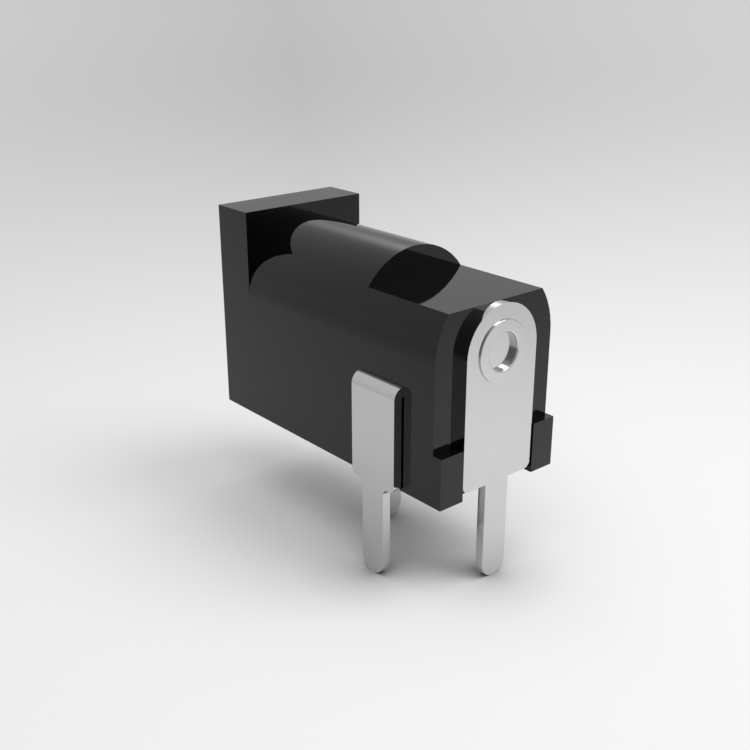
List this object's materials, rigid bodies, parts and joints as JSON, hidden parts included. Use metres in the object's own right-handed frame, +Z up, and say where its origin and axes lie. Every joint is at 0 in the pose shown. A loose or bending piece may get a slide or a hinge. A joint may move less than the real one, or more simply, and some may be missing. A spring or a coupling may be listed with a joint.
{
  "type": "dc barrel jack",
  "caption": "Right-angle dc power jack for a circuit board: flanged barrel housing with a centre pin, a leaf contact and flat solder legs.",
  "frame": {"origin": "on the board's surface, under the middle of the flange's front face", "axes": "+Z up from the board, -Y out of the plug opening, +X towards the switch terminal"},
  "size_m": [0.0054, 0.0115, 0.0106],
  "materials": {
    "housing_plastic": "glossy black moulded plastic",
    "plated_pin": "bright plated, turned",
    "plated_sheet": "bright tin-plated sheet"
  },
  "bodies": {
    "root": {"housing": "housing_plastic", "centre_pin": "plated_pin", "pin_terminal": "plated_sheet", "switch_terminal": "plated_sheet", "sleeve_spring": "plated_sheet"}
  },
  "joints": []
}
